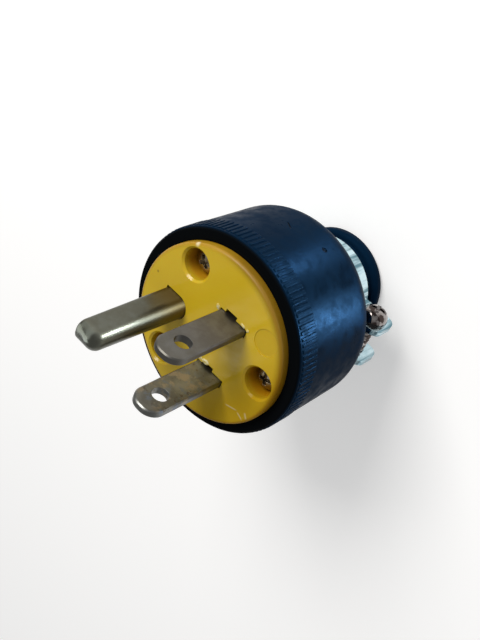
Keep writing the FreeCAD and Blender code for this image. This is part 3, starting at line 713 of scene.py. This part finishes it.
def drive_cutter(bars, half_length, top, depth):
    """Tapered bars that stand for the tip of the driver."""
    shape = bmesh.new()
    for turn in bars:
        made = bmesh.ops.create_cube(shape, size=2.0)["verts"]
        for corner in made:
            above = corner.co.z > 0
            corner.co.x *= half_length * (1.0 if above else BAR_LENGTH_TAPER) * MM
            corner.co.y *= BAR_HALF_WIDTH * (1.0 if above else BAR_WIDTH_TAPER) * MM
            corner.co.z = (top + BAR_OVERRUN if above else top - depth) * MM
        bmesh.ops.rotate(shape, verts=made, cent=(0, 0, 0), matrix=Matrix.Rotation(turn, 3, "Z"))
    mesh = bpy.data.meshes.new("driver_tip")
    shape.to_mesh(mesh)
    shape.free()
    return mesh


def cut_away(mesh, cutter):
    """The first mesh less the second, with both helpers removed."""
    block = bpy.data.objects.new("screw_blank", mesh)
    tool = bpy.data.objects.new("driver_tip", cutter)
    for item in (block, tool):
        bpy.context.scene.collection.objects.link(item)
    boolean = block.modifiers.new("drive", "BOOLEAN")
    boolean.operation = "DIFFERENCE"
    boolean.solver = "EXACT"
    boolean.use_self = True
    boolean.object = tool
    scene_state = bpy.context.evaluated_depsgraph_get()
    result = bpy.data.meshes.new_from_object(block.evaluated_get(scene_state))
    for item in (block, tool):
        used = item.data
        bpy.data.objects.remove(item)
        bpy.data.meshes.remove(used)
    return result


# %% [markdown]
# A screw is put together from those steps. Like screws are built once, turned to their seats and joined
# into one piece, which takes the place of the plain solid.

# %% Whole screws
HEAD_CURVE = (
    # share of the head's radius, share of its height
    (0, 1),
    (0.22, 0.98),
    (0.42, 0.925),
    (0.60, 0.835),
    (0.76, 0.70),
    (0.89, 0.51),
    (0.97, 0.29),
    (1, 0.08),
    (0.98, 0),
)
SHANK_CORE = 0.86
SHANK_TIP = 0.55
SHANK_CHAMFER = 0.5
CROSS_REACH, CROSS_DEPTH = 0.62, 1.25
SLOT_REACH, SLOT_DEPTH = 2.2, 0.9
THREAD_TIP_GAP = 0.7
THREAD_SEAT_GAP = 0.6


def screw_mesh(head_radius, head_height, shank_radius, shank_length, crossed):
    """A pan head screw whose seat is at the origin and whose head points along +Z."""
    head = [(head_radius * across, head_height * up) for across, up in HEAD_CURVE]
    outline = head + [
        (shank_radius * SHANK_CORE, 0),
        (shank_radius * SHANK_CORE, SHANK_CHAMFER - shank_length),
        (shank_radius * SHANK_TIP, -shank_length),
        (0, -shank_length),
    ]
    shape = bmesh.new()
    turn_outline(shape, outline)
    blank = bpy.data.meshes.new("screw_blank")
    shape.to_mesh(blank)
    shape.free()
    if crossed:
        cutter = drive_cutter((0, math.pi / 2), head_radius * CROSS_REACH, head_height, CROSS_DEPTH)
    else:
        cutter = drive_cutter((0,), head_radius * SLOT_REACH, head_height, SLOT_DEPTH)
    return cut_away(blank, cutter)


def add_piece(name, shape, material, smooth_angle):
    """Turn a finished bmesh into a piece that rides on the plug."""
    mesh = bpy.data.meshes.new(name)
    shape.to_mesh(mesh)
    shape.free()
    mesh.materials.clear()
    mesh.materials.append(material)
    mesh.shade_smooth()
    mesh.set_sharp_from_angle(angle=math.radians(smooth_angle))
    piece = bpy.data.objects.new(name, mesh)
    bpy.context.scene.collection.objects.link(piece)
    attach(piece, "root")
    return piece


def build_screws(name, seats, sizes, crossed, material):
    """One piece of like screws. A seat is a place, the head's direction and a turn of its driver."""
    plain_screw = screw_mesh(*sizes, crossed)
    *_, shank_radius, shank_length = sizes
    shape = bmesh.new()
    for place, direction, turn in seats:
        single = bmesh.new()
        single.from_mesh(plain_screw)
        wind_thread(single, shank_radius, THREAD_TIP_GAP - shank_length, -THREAD_SEAT_GAP)
        stand = Vector((0, 0, 1)).rotation_difference(Vector(direction)).to_matrix().to_4x4()
        spin = Matrix.Rotation(math.radians(turn), 4, "Z")
        pose = Matrix.Translation(Vector(place) * MM) @ stand @ spin
        bmesh.ops.transform(single, matrix=pose, verts=single.verts)
        ready = bpy.data.meshes.new("screw_ready")
        single.to_mesh(ready)
        single.free()
        shape.from_mesh(ready)
        bpy.data.meshes.remove(ready)
    bpy.data.meshes.remove(plain_screw)
    piece = add_piece(name, shape, material, smooth_angle=32)
    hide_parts(name.removesuffix("_turned"))
    print(f"{name}: {len(seats)} screws, {len(piece.data.polygons)} faces")


# %% [markdown]
# The clamp's screws and the face screws are nickel plated and have a cross recess. The three terminal
# screws are hidden inside. By custom the line one is brass, the neutral one silvery and the ground one
# green, so that a cord is wired the right way round. Their heads are slotted.

# %% Screws
CLAMP_Z = 9.65
CLAMP_SCREW_Y = 14.35
CLAMP_SEAT_X = 4.6
FACE_SEAT_Z = 36.9
FACE_SCREW_PLACES = ((0, -12.9), (10.3, 7.76), (-10.3, 7.76))
FACE_SCREW_TURNS = (15, 40, 70)
LINE_TERMINAL = (11.2, -3.6, 26.48)
NEUTRAL_TERMINAL = (-11.2, -3.6, 26.48)
GROUND_TERMINAL = (0, 1.0, 27.1)
UP, DOWN, OUT = (0, 0, 1), (0, 0, -1), (1, 0, 0)
# head radius, head height, shank radius, shank length
CLAMP_SIZES = (2.8, 2.5, 1.6, 12.0)
FACE_SIZES = (2.6, 1.9, 1.5, 15.4)
BLADE_TERMINAL_SIZES = (2.7, 2.0, 1.5, 5.52)
GROUND_TERMINAL_SIZES = (2.7, 2.0, 1.5, 4.9)


def dark_patched_nickel():
    """Bright plating with sharp-edged dark patches."""
    material, tree, shader, point, colour = drawn_metal(
        "nickel_plate", (0.52, 0.49, 0.48), (0.26, 0.235, 0.225), 0.03, ALL_WAYS,
        line_depth=0.002, unevenness=0.3)
    dark_patches = fade(tree, noise(tree, point, 1.3 * MM, 2.0, 0.4), 0.46, 0.54)
    connect(tree, shader.inputs["Base Color"], blend_colour(tree, dark_patches, colour, (0.058, 0.044, 0.040)))
    return material


nickel = dark_patched_nickel()
old_nickel = drawn_metal("dull_nickel_plate", (0.55, 0.49, 0.38), (0.30, 0.24, 0.16), 0.14, ALL_WAYS)[0]
brass = drawn_metal("screw_brass", (0.62, 0.45, 0.18), (0.45, 0.31, 0.12), 0.22, ALL_WAYS)[0]
green = drawn_metal("green_dyed_metal", (0.05, 0.26, 0.10), (0.03, 0.17, 0.07), 0.30, ALL_WAYS)[0]

build_screws("clamp_screws_turned",
             [((CLAMP_SEAT_X, -CLAMP_SCREW_Y, CLAMP_Z), OUT, 20),
              ((CLAMP_SEAT_X, CLAMP_SCREW_Y, CLAMP_Z), OUT, 65)],
             CLAMP_SIZES, True, nickel)
build_screws("face_screws_turned",
             [((x, y, FACE_SEAT_Z), UP, turn)
              for (x, y), turn in zip(FACE_SCREW_PLACES, FACE_SCREW_TURNS)],
             FACE_SIZES, True, old_nickel)
build_screws("line_terminal_screw_turned", [(LINE_TERMINAL, DOWN, 30)],
             BLADE_TERMINAL_SIZES, False, brass)
build_screws("neutral_terminal_screw_turned", [(NEUTRAL_TERMINAL, DOWN, -50)],
             BLADE_TERMINAL_SIZES, False, nickel)
build_screws("ground_terminal_screw_turned", [(GROUND_TERMINAL, DOWN, 80)],
             GROUND_TERMINAL_SIZES, False, green)

# %% [markdown]
# ## Flash at the slots
# Pushing the prongs through tight slots has scraped up a few pale slivers of plastic. A sliver is a
# small ball pressed flat and bent by a fixed pattern, half sunk in the face beside its blade.

# %% Slot flash
RIPPLE = 0.22
TWIST = 0.35
WAVES_X, WAVES_Y, WAVE_SHIFT = 3.1, 2.3, 1.7
FLAKES = (
    # place, size along X, Y and Z, turn about Z
    ((6.9, 0.25, 40.95), (0.60, 0.40, 0.22), 25),
    ((7.5, -5.7, 40.95), (0.36, 0.60, 0.24), -12),
    ((7.3, -6.9, 40.95), (0.30, 0.34, 0.18), 40),
    ((-4.8, -2.1, 40.85), (0.50, 0.95, 0.42), 12),
    ((-5.4, 0.05, 40.95), (0.55, 0.36, 0.22), -30),
    ((-4.9, -0.7, 40.95), (0.38, 0.45, 0.18), 15),
)


def build_flash():
    """All the slivers as one piece."""
    shape = bmesh.new()
    for number, (place, size, turn) in enumerate(FLAKES):
        ball = bmesh.ops.create_icosphere(shape, subdivisions=3, radius=1.0)["verts"]
        for corner in ball:
            wave_x = math.sin(WAVES_X * corner.co.x + WAVE_SHIFT * number)
            wave_y = math.cos(WAVES_Y * corner.co.y)
            ripple = 1.0 + RIPPLE * wave_x * wave_y
            lift = TWIST * corner.co.x * corner.co.y
            corner.co = Vector((corner.co.x * size[0] * ripple, corner.co.y * size[1],
                                corner.co.z * size[2] * ripple + lift * size[2])) * MM
        spin = Matrix.Rotation(math.radians(turn), 3, "Z")
        bmesh.ops.rotate(shape, verts=ball, cent=(0, 0, 0), matrix=spin)
        bmesh.ops.translate(shape, verts=ball, vec=Vector(place) * MM)
    bmesh.ops.recalc_face_normals(shape, faces=shape.faces)
    material, tree, shader, point = new_finish("scraped_plastic")
    scrape = noise(tree, point, 0.35 * MM, 4.0, 0.6)
    connect(tree, shader.inputs["Base Color"],
            blend_colour(tree, fade(tree, scrape, 0.4, 0.62), (0.66, 0.62, 0.38), (0.58, 0.44, 0.08)))
    shader.inputs["Roughness"].default_value = 0.55
    connect(tree, shader.inputs["Normal"], bump(tree, scrape, 0.08 * MM, 0.8))
    add_piece("slot_flash", shape, material, smooth_angle=60)
    print(f"slot_flash: {len(FLAKES)} slivers")


build_flash()
